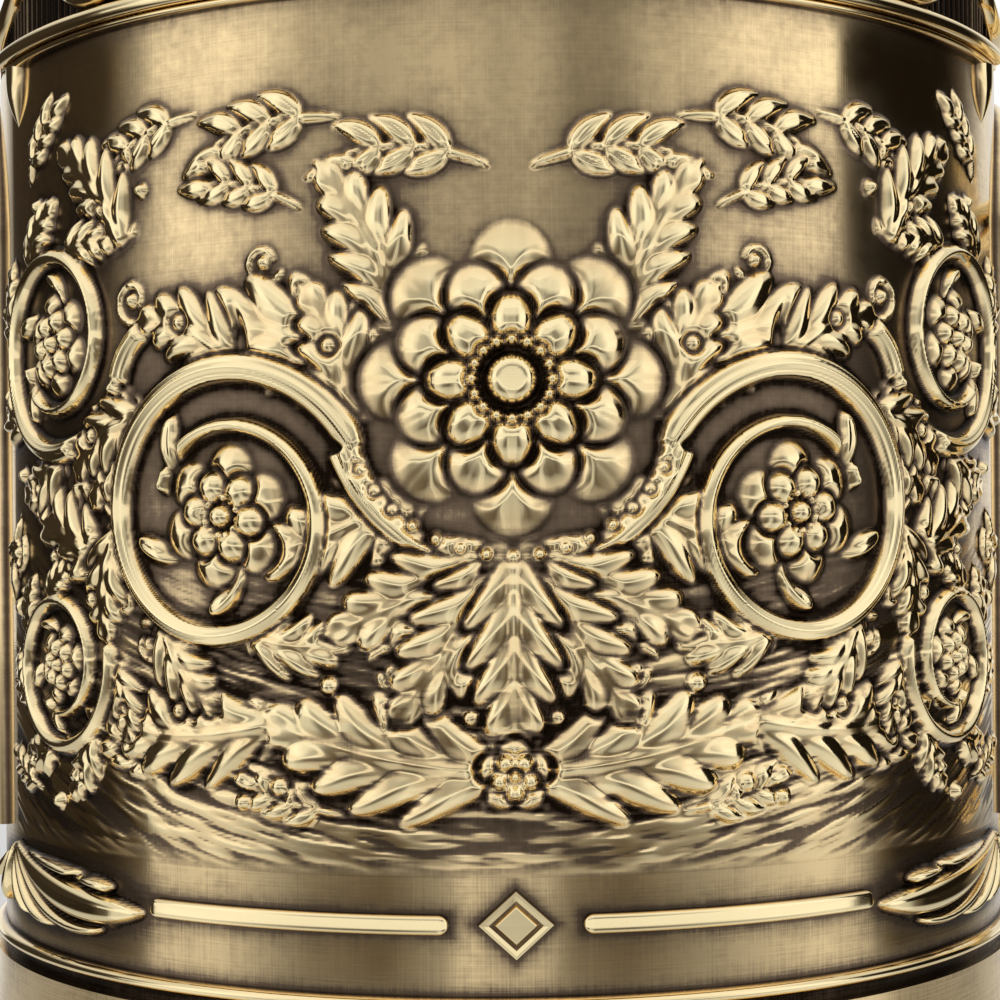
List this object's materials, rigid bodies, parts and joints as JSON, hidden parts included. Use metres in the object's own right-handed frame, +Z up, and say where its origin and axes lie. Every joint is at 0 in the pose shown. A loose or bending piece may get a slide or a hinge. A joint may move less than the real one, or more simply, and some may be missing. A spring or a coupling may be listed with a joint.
{
  "type": "podstakannik tea glass holder",
  "caption": "Brass tea glass holder with a cylindrical sleeve, floral relief panels, a fluted crest with scrolls, a flaring foot and a C-shaped handle with a thumb rest.",
  "frame": {"origin": "On the body's axis, in the plane that the foot stands on.", "axes": "+Z up along the glass's axis, the front panel faces -Y, the handle is at +X."},
  "size_m": [0.1081, 0.0812, 0.09],
  "materials": {
    "brushed_aged_brass": "brushed brass with a brown patina, lightly scratched up and down and round",
    "relief_brass": "cast relief, rubbed bright on the high parts and dark brown in the recesses",
    "polished_brass": "polished pale brass with darker edges",
    "blackened_brass": "blackened brass between bright flute edges"
  },
  "bodies": {
    "root": {"sleeve": "brushed_aged_brass", "base_plate": "brushed_aged_brass", "foot": "brushed_aged_brass", "ring_bead": "polished_brass", "panel_relief_front": "relief_brass", "panel_relief_rear": "relief_brass", "top_moulding_front": "polished_brass", "top_moulding_rear": "polished_brass", "drop_front_left": "polished_brass", "drop_front_right": "polished_brass", "drop_rear_left": "polished_brass", "drop_rear_right": "polished_brass", "bar_front_left": "polished_brass", "bar_front_right": "polished_brass", "bar_rear_left": "polished_brass", "bar_rear_right": "polished_brass", "diamond_front": "polished_brass", "diamond_rear": "polished_brass", "corner_leaf_front_left": "relief_brass", "corner_leaf_front_right": "relief_brass", "corner_leaf_rear_left": "relief_brass", "corner_leaf_rear_right": "relief_brass", "crest_front": "blackened_brass", "crest_rear": "blackened_brass", "crest_rim_front": "polished_brass", "crest_rim_rear": "polished_brass", "crest_scroll_front_left": "polished_brass", "crest_scroll_front_right": "polished_brass", "crest_scroll_rear_left": "polished_brass", "crest_scroll_rear_right": "polished_brass", "crest_shell_front": "polished_brass", "crest_shell_rear": "polished_brass", "side_arch_left": "polished_brass", "side_arch_right": "polished_brass", "side_cartouche": "relief_brass", "handle_plate_upper": "polished_brass", "handle_plate_lower": "polished_brass", "handle_bow": "polished_brass", "thumb_rest": "polished_brass", "handle_curl": "polished_brass", "handle_rivets": "polished_brass"}
  },
  "joints": []
}
